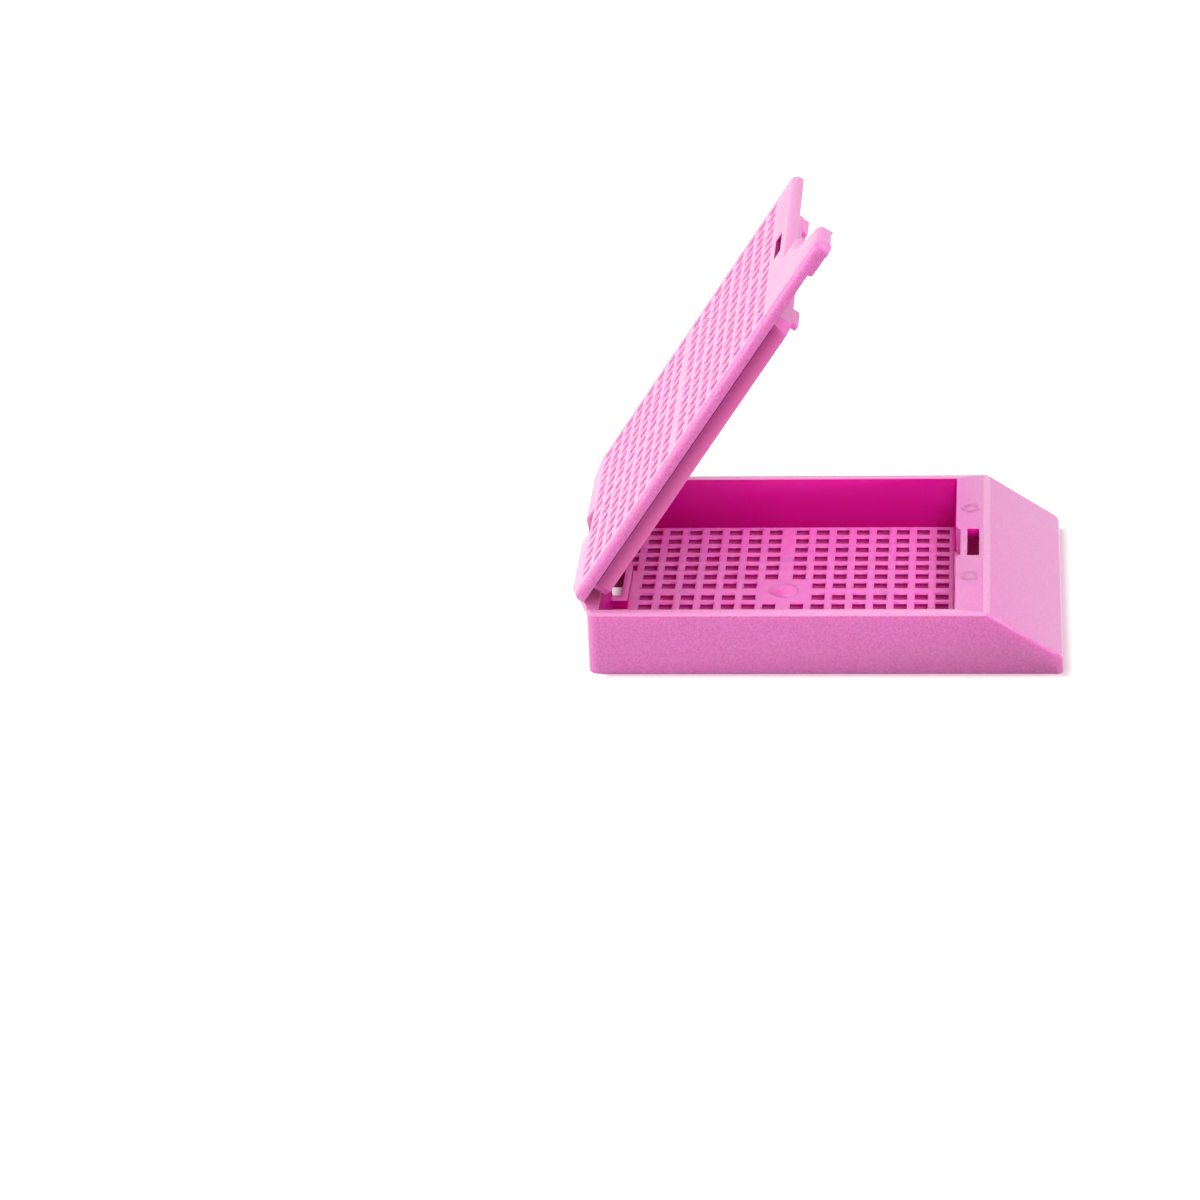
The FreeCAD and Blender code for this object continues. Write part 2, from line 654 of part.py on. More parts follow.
sheet = make_sheet()
tray = make_tray()
lid = make_lid()
doc.recompute()
check_and_export([tray, lid])
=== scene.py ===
# %% [markdown]
# # A hinged tissue cassette
# A tissue cassette is a small moulded tray with a perforated floor and lid. A biopsy lies in it
# while fluids run through the holes. The whole cassette is one shot of acetal, so there is one
# plastic to get right: thin, slightly translucent, matte outside, and pink all the way through.
# Its shape could be modelled again here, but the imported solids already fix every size. So this
# first cell loads them, and the rest is built on them.

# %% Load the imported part
import json
import math

import bmesh
import bpy
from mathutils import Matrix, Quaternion, Vector


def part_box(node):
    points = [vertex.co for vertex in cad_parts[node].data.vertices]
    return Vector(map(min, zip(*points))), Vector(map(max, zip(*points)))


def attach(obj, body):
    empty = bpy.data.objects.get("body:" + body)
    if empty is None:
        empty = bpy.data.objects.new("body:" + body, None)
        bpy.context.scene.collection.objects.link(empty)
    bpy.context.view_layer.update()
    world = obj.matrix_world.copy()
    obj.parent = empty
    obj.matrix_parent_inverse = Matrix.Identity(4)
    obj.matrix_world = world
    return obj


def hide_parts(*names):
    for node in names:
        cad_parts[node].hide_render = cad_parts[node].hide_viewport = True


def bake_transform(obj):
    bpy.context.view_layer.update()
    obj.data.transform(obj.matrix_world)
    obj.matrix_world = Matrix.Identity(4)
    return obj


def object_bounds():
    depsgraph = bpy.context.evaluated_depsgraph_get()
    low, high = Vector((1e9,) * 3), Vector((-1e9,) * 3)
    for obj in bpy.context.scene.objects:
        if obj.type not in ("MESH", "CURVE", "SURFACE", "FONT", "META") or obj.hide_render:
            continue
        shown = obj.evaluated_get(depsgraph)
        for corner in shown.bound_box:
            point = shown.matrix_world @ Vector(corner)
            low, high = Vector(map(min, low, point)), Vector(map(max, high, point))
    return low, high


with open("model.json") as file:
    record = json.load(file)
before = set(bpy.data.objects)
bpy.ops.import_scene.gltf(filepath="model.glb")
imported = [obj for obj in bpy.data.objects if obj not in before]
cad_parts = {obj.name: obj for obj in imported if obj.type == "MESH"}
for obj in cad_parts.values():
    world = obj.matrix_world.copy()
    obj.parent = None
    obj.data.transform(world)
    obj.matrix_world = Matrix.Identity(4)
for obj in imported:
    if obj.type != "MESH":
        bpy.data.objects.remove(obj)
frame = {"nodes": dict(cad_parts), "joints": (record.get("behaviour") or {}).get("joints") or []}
cad_low, cad_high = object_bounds()
MM = 0.001
print("solid size in mm:", [round(side / MM, 2) for side in cad_high - cad_low])

# %% [markdown]
# ## Where the hinge is
# The lid turns on a thin web along the tray's back edge. Places on the lid could be written in
# the tray's directions, but the lid stands at a slant, so they would be hard to read. Instead
# the hinge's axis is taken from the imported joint, and gives the lid its own directions: along
# the plate away from the hinge, and out through the plate.

# %% Directions of the tray and the lid
hinge = frame["joints"][0]
hinge_point = Vector(hinge["pos_m"])
open_angle = math.radians(-hinge["range_deg"][0])
turn = Quaternion(Vector(hinge["axis"]), open_angle)
lid_reach, lid_out = turn @ Vector((0, -1, 0)), turn @ Vector((0, 0, 1))
tray_low, tray_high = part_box("base")
print("lid stands open by", round(math.degrees(open_angle), 1), "degrees")


def on_lid(point):
    """A point in the lid's own terms, in mm: across, away from the hinge, out through it."""
    offset = (point - hinge_point) / MM
    return offset.x, offset.dot(lid_reach), offset.dot(lid_out)


def off_lid(across, away, out):
    """The point in the row's frame, in metres, for a place in the lid's own terms."""
    return hinge_point + Vector((across * MM, 0, 0)) + (lid_reach * away + lid_out * out) * MM


# %% [markdown]
# ## Small helpers
# Colours are written as sRGB hex values, the way a paint chart gives them. Cycles works with
# linear light, so one function converts them. Nodes could be added and linked one line at a
# time, but a second small function does it in one, which keeps each material short enough to
# read at a glance. The last two turn a finished skin into a mesh and a mesh into an object.

# %% Colours, nodes, meshes and objects
def linear(hex_colour):
    """A linear RGBA colour from an sRGB hex value."""
    channels = [int(hex_colour[place:place + 2], 16) / 255 for place in (1, 3, 5)]
    light = [c / 12.92 if c <= 0.04045 else ((c + 0.055) / 1.055) ** 2.4 for c in channels]
    return (*light, 1.0)


def add_node(tree, kind, links=None, inputs=None, **settings):
    """Adds a node, sets its properties and socket values, and links sockets to it."""
    node = tree.nodes.new(kind)
    for name, setting in settings.items():
        setattr(node, name, setting)
    for name, value in (inputs or {}).items():
        node.inputs[name].default_value = value
    for name, socket in (links or {}).items():
        tree.links.new(socket, node.inputs[name])
    return node


def new_material(name):
    """An empty material, ready for its nodes."""
    material = bpy.data.materials.new(name)
    material.use_nodes = True
    material.node_tree.nodes.clear()
    return material


def mesh_of(skin, name):
    """The mesh of a skin, which is used up."""
    mesh = bpy.data.meshes.new(name)
    skin.to_mesh(mesh)
    skin.free()
    return mesh


def in_scene(name, data):
    """A new object at the origin, unrotated and unscaled."""
    thing = bpy.data.objects.new(name, data)
    bpy.context.scene.collection.objects.link(thing)
    return thing


# %% [markdown]
# ## Moulded acetal, its finishes, and painted light and shade
# Acetal copolymer, injection moulded. Light goes a few tenths of a millimetre into it and comes
# back out, so thin ribs glow and the corners where light bounces from wall to wall turn a deep
# magenta. A flat paint would miss both, so every finish scatters light under its surface.
#
# One plastic has six materials here. Its skin copies the steel it was moulded against: outer faces
# come off spark-eroded steel, whose fine pebbles scatter white light off the surface before it is
# coloured, so they look pale and powdery; chamber walls come off polished steel and are glossy;
# the floor comes off stoned steel and is satin. On top of that, light and shade are painted in.
# The chamber walls are painted a deep magenta as painted shade. The walls of the holes, the lid's
# slot and a line at the root of the lid's rim carry a deeper painted shade, and the flanks of the
# lid's rim carry a painted shade under the plate's overhang. The rim's top, the slope's crease and
# the walls of the lid's holes are painted paler, as a painted highlight.
#
# Light reaches some walls from one end only. Their tint is painted to run from one end to the
# other, as painted shade and light, with a "level" that the mouldings carry: the height above the
# tray's underside with the lid closed.

# %% The finishes, and the painted light and shade
# The real grain is finer than this and would not show. It is drawn coarser, so that it does.
PEBBLE = 0.2 * MM
# Faint sink marks, where the thicker plastic shrank as it cooled.
SINK, SINK_DEPTH = 3.0 * MM, 0.01 * MM
# How far light travels under the skin. Red goes furthest, green hardly at all.
SCATTER, SCATTER_BY_COLOUR = 0.5 * MM, (1.0, 0.18, 0.55)
ACETAL_IOR, COAT_IOR = 1.48, 1.5
# The part of the noise's range that the pebbles use.
PEBBLE_LOW, PEBBLE_HIGH = 0.27, 0.73


def moulded_acetal(name, tints, gloss, pebble_height, shine, coat, bloom,
                   low_tint=None, levels=None):
    """Acetal. Shine and coat are how much light its skin mirrors, and bloom is its sheen.

    Where light reaches a wall from one end, its tint is painted to run from low_tint at the first
    of two levels, in mm, to the plain tints at the second, as painted shade and light."""
    material = new_material(name)
    tree = material.node_tree
    place = add_node(tree, "ShaderNodeTexCoord")
    grain = add_node(tree, "ShaderNodeTexNoise", {"Vector": place.outputs["Object"]},
                     {"Scale": 1 / PEBBLE, "Detail": 2.0, "Roughness": 0.7})
    sink = add_node(tree, "ShaderNodeTexNoise", {"Vector": place.outputs["Object"]},
                    {"Scale": 1 / SINK, "Detail": 1.0})
    pebbles = add_node(tree, "ShaderNodeMapRange", {"Value": grain.outputs["Fac"]},
                       {"From Min": PEBBLE_LOW, "From Max": PEBBLE_HIGH})
    fine = add_node(tree, "ShaderNodeBump", {"Height": pebbles.outputs["Result"]},
                    {"Strength": 1.0, "Distance": pebble_height})
    broad = add_node(tree, "ShaderNodeBump",
                     {"Height": sink.outputs["Fac"], "Normal": fine.outputs["Normal"]},
                     {"Strength": 0.5, "Distance": SINK_DEPTH})
    tint = add_node(tree, "ShaderNodeMix", {"Factor": pebbles.outputs["Result"]},
                    data_type="RGBA")
    tint.inputs["A"].default_value = linear(tints[0])
    tint.inputs["B"].default_value = linear(tints[1])
    if levels:
        level = add_node(tree, "ShaderNodeAttribute", attribute_name="level")
        rise = add_node(tree, "ShaderNodeMapRange", {"Value": level.outputs["Fac"]},
                        {"From Min": levels[0], "From Max": levels[1]})
        plain = tint.outputs["Result"]
        tint = add_node(tree, "ShaderNodeMix", {"Factor": rise.outputs["Result"]},
                        data_type="RGBA")
        tint.inputs["A"].default_value = linear(low_tint)
        tree.links.new(plain, tint.inputs["B"])
    roughness = add_node(tree, "ShaderNodeMapRange", {"Value": pebbles.outputs["Result"]},
                         {"To Min": gloss[0], "To Max": gloss[1]})
    shader = add_node(tree, "ShaderNodeBsdfPrincipled",
                      {"Base Color": tint.outputs["Result"], "Normal": broad.outputs["Normal"],
                       "Roughness": roughness.outputs["Result"]},
                      {"IOR": ACETAL_IOR, "Specular IOR Level": shine,
                       "Subsurface Weight": 1.0, "Subsurface Radius": SCATTER_BY_COLOUR,
                       "Subsurface Scale": SCATTER, "Coat Weight": coat, "Coat IOR": COAT_IOR,
                       "Coat Roughness": 0.4, "Sheen Weight": bloom, "Sheen Roughness": 0.5})
    add_node(tree, "ShaderNodeOutputMaterial", {"Surface": shader.outputs["BSDF"]})
    print(name, "made, pebbles", round(PEBBLE / MM, 2), "mm across")
    return material


# Outer faces, off spark-eroded steel: pebbled, pale, with a bloom at shallow angles.
spark_eroded = moulded_acetal(
    "acetal_spark_eroded_pink", ("#DC59B2", "#F57DD5"), gloss=(0.38, 0.55),
    pebble_height=0.03 * MM, shine=0.5, coat=1.0, bloom=0.35)
# The same skin on edges that stand proud and on the walls of the lid's holes, painted paler: a
# painted highlight along the rim's top and the slope's crease, and painted light in the lid's
# holes.
painted_light = moulded_acetal(
    "acetal_painted_light_pink", ("#E884C4", "#F9A0DA"), gloss=(0.38, 0.55),
    pebble_height=0.03 * MM, shine=0.5, coat=1.0, bloom=0.5)
# Chamber walls and the front slot, off polished steel: clear and glossy, and painted a deep
# magenta as painted shade inside the chamber, with the painted shade darker towards the floor.
polished_and_shaded = moulded_acetal(
    "acetal_polished_painted_shade_pink", ("#E60CAC", "#EE18B4"), gloss=(0.30, 0.40),
    pebble_height=0.004 * MM, shine=0.15, coat=0.0, bloom=0.0,
    low_tint="#CA068C", levels=(1.0, 5.5))
# Hole walls, off polished pins, the lid's slot and the root of the lid's rim: a painted deep
# shade, with painted light making the foot of the holes paler, where light comes up from below.
painted_deep_shade = moulded_acetal(
    "acetal_painted_deep_shade_pink", ("#A20674", "#AE0C7E"), gloss=(0.30, 0.40),
    pebble_height=0.004 * MM, shine=0.15, coat=0.0, bloom=0.0,
    low_tint="#F864BC", levels=(0.38, 0.7))
# Flanks of the lid's rim: a painted shade under the plate's overhang, fading paler towards the
# thin lower edge.
painted_overhang_shade = moulded_acetal(
    "acetal_painted_overhang_shade_pink", ("#C43494", "#D040A0"), gloss=(0.34, 0.44),
    pebble_height=0.006 * MM, shine=0.4, coat=0.4, bloom=0.15,
    low_tint="#FA7CC6", levels=(4.2, 5.3))
# The floor and what hangs at the lid's front end, off stoned steel: smooth and softly shiny.
satin = moulded_acetal(
    "acetal_satin_pink", ("#FA6CCA", "#FF7ED4"), gloss=(0.34, 0.44),
    pebble_height=0.008 * MM, shine=0.5, coat=0.3, bloom=0.2)
FINISHES_AND_PAINTS = (spark_eroded, painted_light, polished_and_shaded, painted_deep_shade, painted_overhang_shade, satin)

# %% [markdown]
# ## Copies of the solids, welded
# On the real part the skin is unbroken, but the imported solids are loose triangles, and edges
# can only be rounded where the faces know their neighbours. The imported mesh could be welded
# itself, but it is the record of the part's sizes and stays as it is. So a copy is welded, and
# the finished copy takes its place.

# %% A welded copy of a solid
WELD = 0.001 * MM


def welded_copy(node):
    skin = bmesh.new()
    skin.from_mesh(frame["nodes"][node].data)
    bmesh.ops.remove_doubles(skin, verts=skin.verts, dist=WELD)
    open_edges = sum(1 for edge in skin.edges if len(edge.link_faces) != 2)
    print(node, "welded, faces:", len(skin.faces), "open edges:", open_edges)
    return skin


# %% [markdown]
# ## Which steel was polished, and where light and shade are painted
# The toolmaker polishes the core that forms the chamber and its holes, because the part has to
# slide off it, and leaves most of the rest spark-eroded. Faces could be picked by hand, but there
# are thousands. So the finish and the painted light and shade follow from where a face lies and
# which way it looks. In the tray, steep faces inside the chamber are polished and painted in
# shade, those of its holes carry a deeper painted shade, and level ones are satin, while the rim's
# top and the slope's crease carry a painted highlight. On the lid, the walls of the holes are
# painted paler, as painted light. The flanks of the rim carry a painted shade from the plate's
# overhang, with a deeper painted shade line at their root, and what hangs at the front end is
# satin.

# %% The finish and painted light and shade of each face
# How level a face is: the share of its normal that points up, or out of the lid.
STEEP, LEVEL = 0.3, 0.95
SLOPE_TILT = (0.86, 0.99)
# The tray, in mm: the walls of the chamber, the heights in it, the rim, and the front slot.
CHAMBER_SIDE, CHAMBER_FRONT, CHAMBER_BACK = 13.4, -11.25, 20.35
FLOOR_LOW, FLOOR_TOP, STEP_TOP = 0.7, 1.0, 2.2
RIM_WALL, RIM_HEIGHT = 13.3, 5.5
FRONT_SLOT, FRONT_SLOT_HALF = (-13.5, -12.0), 2.8
# The crease where the shelf turns down into the slope.
CREASE_Y, CREASE_BAND = -13.975, 0.4
# The lid in its own terms, in mm: its two faces, rim, holes, front end and front slot.
INNER_FACE, OUTER_FACE = 0.03, 1.03
RIM_SIDE, RIM_ROOT, RIM_END = 12.9, -0.25, 33.6
HOLES_HALF, HOLES_END = 13.2, 33.0
FRONT_START, FRONT_END = 31.0, 35.5
SLOT_HALF, SLOT_START, SLOT_END = 2.3, 32.7, 33.8
SPARK, PAINTED_LIGHT, POLISHED_AND_SHADED, PAINTED_DEEP_SHADE, PAINTED_OVERHANG_SHADE, SATIN = range(len(FINISHES_AND_PAINTS))


def tray_finish_or_paint(centre, normal):
    """Polished walls in painted shade and hole walls in a deeper painted shade inside the chamber,
    a satin floor, and a painted highlight on the rim and crease.
    """
    x, y, z = centre / MM
    steep = abs(normal.z) < STEEP
    # The rim's top and the slope's crease carry a painted highlight.
    if abs(x) > RIM_WALL and z > RIM_HEIGHT and y > CHAMBER_FRONT:
        return PAINTED_LIGHT
    on_slope = SLOPE_TILT[0] < normal.z < SLOPE_TILT[1]
    if abs(y - CREASE_Y) < CREASE_BAND and z > RIM_HEIGHT and on_slope:
        return PAINTED_LIGHT
    # The front slot's walls are polished and painted in shade.
    if abs(x) < FRONT_SLOT_HALF and FRONT_SLOT[0] < y < FRONT_SLOT[1] and steep:
        return POLISHED_AND_SHADED
    if abs(x) > CHAMBER_SIDE or not CHAMBER_FRONT < y < CHAMBER_BACK:
        return SPARK
    # Chamber walls are polished and painted in shade, and hole walls carry a deeper painted shade.
    if steep:
        return PAINTED_DEEP_SHADE if z < FLOOR_TOP else POLISHED_AND_SHADED
    return SATIN if FLOOR_LOW < z < STEP_TOP else SPARK


def lid_finish_or_paint(centre, normal):
    """Spark-eroded, but for hole walls painted paler as painted light, rim flanks in painted shade
    with a deeper painted shade line at their root, a slot in deeper painted shade, and a satin
    front end.
    """
    across, away, out = on_lid(centre)
    tilt = normal.dot(lid_out)
    steep = abs(tilt) < STEEP
    if INNER_FACE < out < OUTER_FACE and abs(tilt) < LEVEL:
        # The walls of the lid's slot carry the painted deep shade.
        if abs(across) < SLOT_HALF and SLOT_START < away < SLOT_END and steep:
            return PAINTED_DEEP_SHADE
        # The walls of the lid's holes are painted paler, as painted light.
        return PAINTED_LIGHT if abs(across) < HOLES_HALF and away < HOLES_END else SPARK
    # The rim's flanks carry a painted shade under the plate's overhang, and a painted deep shade
    # line at their root.
    if abs(across) > RIM_SIDE and away < RIM_END and steep and out < 0:
        return PAINTED_OVERHANG_SHADE if out < RIM_ROOT else PAINTED_DEEP_SHADE
    return SATIN if FRONT_START < away < FRONT_END and out < 0 else SPARK


def tray_level(point):
    """Height above the underside, in mm."""
    return point.z / MM


def lid_level(point):
    """Height above the tray's underside when the lid is closed, in mm."""
    return on_lid(point)[2] + hinge_point.z / MM


print("finishes:", [material.name for material in FINISHES_AND_PAINTS])

# %% [markdown]
# ## Rounded edges
# A mould can't be cut perfectly sharp, and acetal shrinks away from its corners, so edges of
# the real part are rounded by a tenth of a millimetre or so. The rounding catches the light
# along each rib, which is most of what makes a grid of holes read as plastic. It is widest at
# the crease of the slope and on the lugs under the lid's front end, next on the ribs of the
# floor and round the lid's outer holes, and tight along the rim and the lid's inner face. Each
# edge could be cut by itself, but a bevel modifier does all of it in one pass from a weight on
# each edge, so that roundings of different size meet cleanly, and its hardened normals keep
# the flat faces flat.

# %% How far each edge is rounded
SHARP = math.radians(28)
WIDEST, LUG, RIB, HOLE, PLAIN, TIGHT = (
    size * MM for size in (0.32, 0.26, 0.17, 0.12, 0.08, 0.045))
# In mm: the crisp zone round the hinge, how near a face an edge lies, and where the lugs start
# below the plate.
HINGE_ZONE, FACE_BAND, LUG_TOP = 1.2, 0.06, -0.3
ROUNDING_STEPS = 2
print("roundings in mm:", [round(size / MM, 3) for size in (WIDEST, LUG, RIB, HOLE, PLAIN, TIGHT)])


def tray_rounding(edge):
    """Wide at the crease and on the floor's ribs; none inside corners, on walls or the hinge."""
    if not edge.is_convex:
        return 0.0
    ends = [vert.co / MM for vert in edge.verts]
    hinge_y, hinge_z = hinge_point.y / MM, hinge_point.z / MM
    if min(math.hypot(end.y - hinge_y, end.z - hinge_z) for end in ends) < HINGE_ZONE:
        return 0.0
    if all(abs(end.y - CREASE_Y) < FACE_BAND and end.z > RIM_HEIGHT for end in ends):
        return WIDEST
    finishes_or_paints = {tray_finish_or_paint(face.calc_center_median(), face.normal) for face in edge.link_faces}
    if finishes_or_paints <= {POLISHED_AND_SHADED, PAINTED_DEEP_SHADE}:
        return 0.0
    if finishes_or_paints == {PAINTED_DEEP_SHADE, SATIN}:
        return RIB
    return TIGHT if all(end.z > RIM_HEIGHT for end in ends) else PLAIN


def lid_rounding(edge):
    """Wide on the lugs and outer holes, tight on the inner face, and none at the hinge."""
    ends = [on_lid(vert.co) for vert in edge.verts]
    if min(math.hypot(away, out) for across, away, out in ends) < HINGE_ZONE:
        return 0.0
    if all(abs(out - INNER_FACE) < FACE_BAND for across, away, out in ends):
        return TIGHT
    if all(abs(out - OUTER_FACE) < FACE_BAND for across, away, out in ends):
        holes = all(abs(across) < HOLES_HALF and away < HOLES_END for across, away, out in ends)
        return HOLE if holes else PLAIN
    if all(away > RIM_END and out < LUG_TOP for across, away, out in ends):
        return LUG
    return PLAIN


# %% A rounded mesh
def rounded_mesh(skin, name, rounding):
    """Weights the sharp edges, and returns the mesh that the bevel modifier makes of them."""
    weights = skin.edges.layers.float.new("bevel_weight_edge")
    marked = 0
    for edge in skin.edges:
        if len(edge.link_faces) == 2 and edge.calc_face_angle() > SHARP:
            size = rounding(edge)
            edge.smooth = edge.calc_length() > 2 * size > 0
            if edge.smooth:
                edge[weights] = size / WIDEST
                marked += 1
    for face in skin.faces:
        face.smooth = True
    holder = in_scene(name + "_crisp", mesh_of(skin, name + "_crisp"))
    bevel = holder.modifiers.new("rounding", "BEVEL")
    bevel.limit_method = "WEIGHT"
    bevel.width, bevel.segments, bevel.profile = WIDEST, ROUNDING_STEPS, 0.5
    bevel.use_clamp_overlap = False
    bevel.harden_normals = True
    seen = holder.evaluated_get(bpy.context.evaluated_depsgraph_get())
    mesh = bpy.data.meshes.new_from_object(seen)
    mesh.name = name
    bpy.data.objects.remove(holder)
    print(name, "rounded edges:", marked, "faces:", len(mesh.polygons))
    return mesh


# %% [markdown]
# ## The tray and the lid
# These are the two halves of the one moulding, split at the hinge so that the lid can turn.
# They could be one piece that bends, but a web bends only along its own line, and the rest is
# stiff. Each half is its welded copy, rounded, with a finish, painted light or painted shade on
# every face and a level on every corner point. A face has only one material, so the flanks of the
# lid's rim are cut once more at their root, where the painted shade under the plate's overhang
# turns to the painted deep shade line. The rest of the lid isn't cut.

# %% The two mouldings
def moulding(node, name, body, finish_or_paint, rounding, level):
    """The rounded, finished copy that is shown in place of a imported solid."""
    skin = welded_copy(node)
    # The rim's flanks are cut at their root, between the painted shade under the overhang and the
    # painted deep shade line.
    if node == "lid":
        flanks = [face for face in skin.faces
                  if lid_finish_or_paint(face.calc_center_median(), face.normal) == PAINTED_OVERHANG_SHADE]
        around = {part for face in flanks for part in (*face.verts, *face.edges)}
        bmesh.ops.bisect_plane(skin, geom=flanks + list(around),
                               plane_co=off_lid(0, 0, RIM_ROOT), plane_no=lid_out)
    mesh = rounded_mesh(skin, name, rounding)
    for material in FINISHES_AND_PAINTS:
        mesh.materials.append(material)
    for face in mesh.polygons:
        face.material_index = finish_or_paint(face.center, face.normal)
    # Each corner point carries its level, along which the painted shade and painted light run.
    levels = mesh.attributes.new("level", "FLOAT", "POINT")
    levels.data.foreach_set("value", [level(vert.co) for vert in mesh.vertices])
    piece = in_scene(name, mesh)
    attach(piece, body)
    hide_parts(node)


moulding("base", "tray_moulding", "tray", tray_finish_or_paint, tray_rounding, tray_level)
moulding("lid", "lid_moulding", "cover", lid_finish_or_paint, lid_rounding, lid_level)

# %% [markdown]
# ## Marks of the ejector pins
# Pins push the moulding out of its mould and leave faint marks: a ring round the floor's dome
# from a sleeve, discs on the middle bars, and two rings on the shelf. They could be a bump in
# the plastic's finish, but a real ridge catches the light along its own edge. So each is a
# short section spun right round, with its foot just below the face.

# %% Ejector marks
# In mm. The marks are 0.006 to 0.03 mm proud of the faces they stand on.
FOOT = -0.005
DOME_Y = 4.145
DOME_RADIUS, RING_WIDTH, RING_PROUD = 1.25, 0.16, 0.03
DISC_RADIUS, DISC_FLANK, DISC_PROUD = 0.42, 0.07, 0.015
SHELF_RING, SHELF_PROUD = 0.62, 0.006
BAR_MARKS = ((-6.5, DOME_Y), (6.5, DOME_Y), (0.0, 13.1), (0.0, -4.95))
SHELF_MARKS = ((-6.9, -12.5), (6.9, -12.5))
MARK_STEPS = 48


def spun(skin, centre, section):
    """Spins a section of (radius, height) points, in mm, right round a vertical line."""
    verts = [skin.verts.new(centre + Vector((radius * MM, 0, height * MM)))
             for radius, height in section]
    edges = [skin.edges.new(pair) for pair in zip(verts, verts[1:])]
    bmesh.ops.spin(skin, geom=verts + edges, cent=centre, axis=(0, 0, 1), angle=2 * math.pi,
                   steps=MARK_STEPS, use_merge=True)


def ring_section(radius, width, proud):
    """A low ridge, from its inner foot over its crest to its outer foot."""
    return (radius, FOOT), (radius + width / 2, proud), (radius + width, FOOT)


def marks(name, places, height, section, material):
    """One piece with the same mark at each of some places on a level face of the tray."""
    skin = bmesh.new()
    for x, y in places:
        spun(skin, Vector((x * MM, y * MM, height)), section)
    bmesh.ops.remove_doubles(skin, verts=skin.verts, dist=WELD)
    bmesh.ops.recalc_face_normals(skin, faces=skin.faces)
    for face in skin.faces:
        face.smooth = True
    mesh = mesh_of(skin, name)
    mesh.set_sharp_from_angle(angle=SHARP)
    mesh.materials.append(material)
    piece = in_scene(name, mesh)
    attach(piece, "tray")
    print(name, "at", len(places), "places, faces:", len(mesh.polygons))


disc_section = ((0.0, DISC_PROUD), (DISC_RADIUS - DISC_FLANK, DISC_PROUD),
                (DISC_RADIUS, FOOT))
marks("dome_ring", ((0.0, DOME_Y),), FLOOR_TOP * MM,
      ring_section(DOME_RADIUS, RING_WIDTH, RING_PROUD), satin)
marks("floor_pin_marks", BAR_MARKS, FLOOR_TOP * MM, disc_section, satin)
marks("shelf_pin_marks", SHELF_MARKS, tray_high.z,
      ring_section(SHELF_RING, RING_WIDTH, SHELF_PROUD), spark_eroded)

# %% [markdown]
# ## The web of the living hinge
# Lid and tray are one moulding, joined along the back by a web 0.3 mm thick that bends each time
# the lid moves. A rigid solid can't bend, so a round bead along the tray's hinge line stands in
# for it there. It could be left at that, but the bend would not show. So the web is a piece of its
# own: a short line from the hinge axis is spun round it into a fan, which is drawn out across the
# width. It then blends between the two bodies at the lid's present angle.

# %% Hinge web
WEB_RADIUS = 0.3 * MM
WEB_HALF = 10.7 * MM
# How far the fan runs into the tray and into the lid, so that no gap opens.
OVERLAP = math.radians(8)
WEB_STEPS, WEB_SHARP = 14, math.radians(40)
# The fan's two ends look along the width, and stay flat.
END_TILT = 0.5


def hinge_web():
    """The bent web, blended from the tray to the lid."""
    skin = bmesh.new()
    start = Quaternion((1, 0, 0), -OVERLAP) @ Vector((0, 0, -WEB_RADIUS))
    side = Vector((-WEB_HALF, 0, 0))
    inner = skin.verts.new(hinge_point + side)
    outer = skin.verts.new(hinge_point + side + start)
    edge = skin.edges.new((inner, outer))
    fan = math.pi - open_angle + 2 * OVERLAP
    bmesh.ops.spin(skin, geom=[inner, outer, edge], cent=hinge_point, axis=(1, 0, 0),
                   angle=fan, steps=WEB_STEPS)
    bmesh.ops.remove_doubles(skin, verts=skin.verts, dist=WELD)
    drawn = bmesh.ops.extrude_face_region(skin, geom=skin.faces)
    moved = [item for item in drawn["geom"] if isinstance(item, bmesh.types.BMVert)]
    bmesh.ops.translate(skin, verts=moved, vec=(2 * WEB_HALF, 0, 0))
    bmesh.ops.recalc_face_normals(skin, faces=skin.faces)
    for face in skin.faces:
        face.smooth = abs(face.normal.x) < END_TILT
    mesh = mesh_of(skin, "hinge_web")
    mesh.set_sharp_from_angle(angle=WEB_SHARP)
    mesh.materials.append(spark_eroded)
    piece = in_scene("hinge_web", mesh)
    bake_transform(piece)
    print("hinge web fans over", round(math.degrees(fan), 1), "degrees")


hinge_web()

# %% [markdown]
# ## The pale sheet
# The cassette stands on matte white paper. It could be lit until it is white, but that would
# bleach the cassette as well. So the sheet shows white by a glow that only camera, glossy and
# transmitted rays see, and it adds no light. Under the cassette the glow is a painted deep pink:
# painted shade, tinted by the light that comes through the plastic. It comes up to white over a
# millimetre or two around it, which keeps the sheet's own shadow there and paints a soft shadow on
# top of it.

# %% Pale floor
SHADOW_WIDTH = 1.6 * MM
# The glow starts at the tray's edge in front, and twice this far in under the hinge side, which
# paints light in under the back edge.
LIT_EDGE = 1.0 * MM
# The hinge's axis lies this far behind the tray's footprint.
FLANGE = 0.85 * MM
TRAY_LENGTH = 2 * (hinge_point.y - FLANGE)
FLOOR_SIDE = 3.0
FLOOR_DROP = 0.02 * MM
# White of the glow, and the painted deep pink under the cassette: painted shade, tinted by the
# light that comes through the pink plastic.
GLOW, PAINTED_PINK_SHADE = "#E7E7E7", "#650730"


def seen_rays(tree):
    """1 for the rays that show a thing to the camera, straight or through a surface."""
    ray = add_node(tree, "ShaderNodeLightPath")
    direct = add_node(tree, "ShaderNodeMath", {0: ray.outputs["Is Camera Ray"],
                                               1: ray.outputs["Is Glossy Ray"]},
                      operation="MAXIMUM")
    either = add_node(tree, "ShaderNodeMath", {0: direct.outputs[0],
                                               1: ray.outputs["Is Transmission Ray"]},
                      operation="MAXIMUM")
    return either.outputs[0]


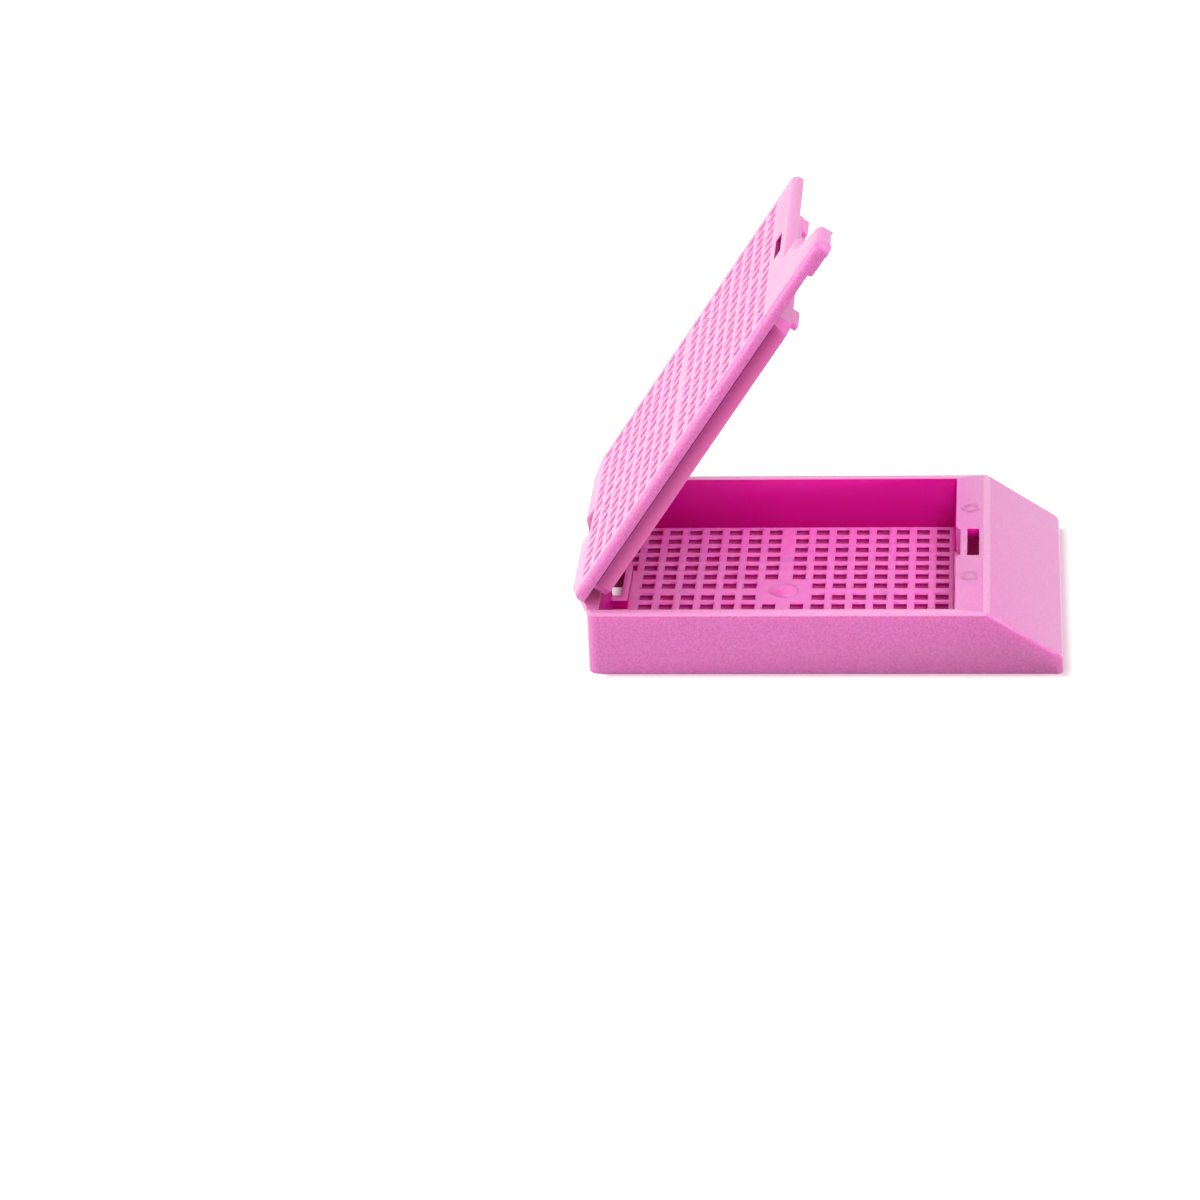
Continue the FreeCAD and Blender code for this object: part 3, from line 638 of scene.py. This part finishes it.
def pale_sheet():
    """Matte white paper, with a glow that rises with the distance from the tray's footprint, which
    paints a soft shadow round it and a deep pink shade under it.
    """
    material = new_material("paper_matte_white")
    tree = material.node_tree
    place = add_node(tree, "ShaderNodeTexCoord")
    size = (tray_high - tray_low) / 2
    centred = add_node(tree, "ShaderNodeVectorMath", {0: place.outputs["Object"]},
                       {1: (0.0, -LIT_EDGE, 0.0)}, operation="SUBTRACT")
    folded = add_node(tree, "ShaderNodeVectorMath", {0: centred.outputs[0]},
                      operation="ABSOLUTE")
    beyond = add_node(tree, "ShaderNodeVectorMath", {0: folded.outputs[0]},
                      {1: (size.x, TRAY_LENGTH / 2 - LIT_EDGE, 1.0)}, operation="SUBTRACT")
    outside = add_node(tree, "ShaderNodeVectorMath", {0: beyond.outputs[0]},
                       {1: (0.0, 0.0, 0.0)}, operation="MAXIMUM")
    far = add_node(tree, "ShaderNodeVectorMath", {0: outside.outputs[0]}, operation="LENGTH")
    rise = add_node(tree, "ShaderNodeMapRange", {"Value": far.outputs["Value"]},
                    {"From Max": SHADOW_WIDTH}, interpolation_type="SMOOTHSTEP")
    colour = add_node(tree, "ShaderNodeMix", {"Factor": rise.outputs[0]}, data_type="RGBA")
    colour.inputs["A"].default_value = linear(PAINTED_PINK_SHADE)
    colour.inputs["B"].default_value = linear(GLOW)
    paper = add_node(tree, "ShaderNodeBsdfDiffuse", inputs={"Color": linear("#CDCDCD")})
    glow = add_node(tree, "ShaderNodeEmission", {"Color": colour.outputs["Result"],
                                                 "Strength": seen_rays(tree)})
    both = add_node(tree, "ShaderNodeAddShader", {0: paper.outputs[0], 1: glow.outputs[0]})
    add_node(tree, "ShaderNodeOutputMaterial", {"Surface": both.outputs[0]})
    return material


sheet = bmesh.new()
bmesh.ops.create_grid(sheet, x_segments=1, y_segments=1, size=FLOOR_SIDE / 2)
floor_mesh = mesh_of(sheet, "pale_floor")
floor_mesh.materials.append(pale_sheet())
floor = in_scene("pale_floor", floor_mesh)
floor.location.z = cad_low.z - FLOOR_DROP
print("pale sheet", FLOOR_SIDE, "m wide, footprint", round(TRAY_LENGTH / MM, 2), "mm long")

# %% [markdown]
# ## Light
# A small glossy part is best shown in a light tent, where light comes from all round and
# shadows are short and soft. One lamp could give the shape, but it would leave the far side of
# every rib black. So the tent gives an even base, and three large lamps shape the cassette:
# one overhead, one behind the hinge and one on the side of the lid's tab.

# %% A light tent and three soft lamps
TENT_LIGHT = 0.32


def light_tent():
    """Even light all round, which shows white to the camera."""
    world = bpy.data.worlds.new("light_tent")
    bpy.context.scene.world = world
    world.use_nodes = True
    tree = world.node_tree
    tree.nodes.clear()
    tent = add_node(tree, "ShaderNodeBackground", inputs={"Color": linear("#FFFFFF"),
                                                          "Strength": TENT_LIGHT})
    white = add_node(tree, "ShaderNodeBackground", inputs={"Color": linear("#FFFFFF"),
                                                           "Strength": 1.0})
    mixed = add_node(tree, "ShaderNodeMixShader", {0: seen_rays(tree), 1: tent.outputs[0],
                                                   2: white.outputs[0]})
    add_node(tree, "ShaderNodeOutputWorld", {"Surface": mixed.outputs[0]})


def soft_lamp(name, place, size, power):
    """A square area lamp that faces the cassette. Its size is in metres, its power in watts."""
    lamp = bpy.data.lights.new(name, "AREA")
    lamp.size = size
    lamp.energy = power
    holder = in_scene(name, lamp)
    holder.location = place
    holder.rotation_euler = (-place).to_track_quat("-Z", "Y").to_euler()
    holder.visible_camera = False
    print(name, round(place.length, 2), "m away")


light_tent()
soft_lamp("overhead_softbox", Vector((-0.05, -0.15, 0.42)), size=0.3, power=1.06)
soft_lamp("hinge_side_softbox", Vector((-0.06, 0.34, 0.13)), size=0.25, power=0.75)
soft_lamp("tab_side_softbox", Vector((-0.32, -0.10, 0.36)), size=0.25, power=0.7)

# %% [markdown]
# ## Camera
# A long lens looks across the width from the tab's side and a little from above. A shorter lens
# could stand nearer, but it would make the near side of so small a part look too large.

# %% Camera
AZIMUTH, ELEVATION, ROLL = math.radians(5.88), math.radians(26.35), math.radians(-2.73)
DISTANCE = 387.4 * MM
LENS_MM, SENSOR_MM = 129.3, 36.0
# The camera aims just in front of the hinge line, almost at the height of the underside.
AIM_FRONT, AIM_HEIGHT = 0.68 * MM, 0.09 * MM
target = Vector((0, hinge_point.y - AIM_FRONT, AIM_HEIGHT))
away = Vector((-math.cos(ELEVATION) * math.cos(AZIMUTH),
               -math.cos(ELEVATION) * math.sin(AZIMUTH), math.sin(ELEVATION)))
camera_data = bpy.data.cameras.new("camera")
camera_data.lens = LENS_MM
camera_data.sensor_width = SENSOR_MM
camera_data.clip_start, camera_data.clip_end = 0.01, 20.0
camera = in_scene("camera", camera_data)
camera.location = target + away * DISTANCE
camera.rotation_mode = "QUATERNION"
camera.rotation_quaternion = away.to_track_quat("Z", "Y") @ Quaternion((0, 0, 1), ROLL)
bpy.context.scene.camera = camera
print("camera", round(DISTANCE / MM), "mm from its target")

# %% [markdown]
# ## Plain colours and the end
# The colours above are meant to be seen as written, so no film look is laid over them.

# %% Plain colours
bpy.context.scene.view_settings.view_transform = "Standard"
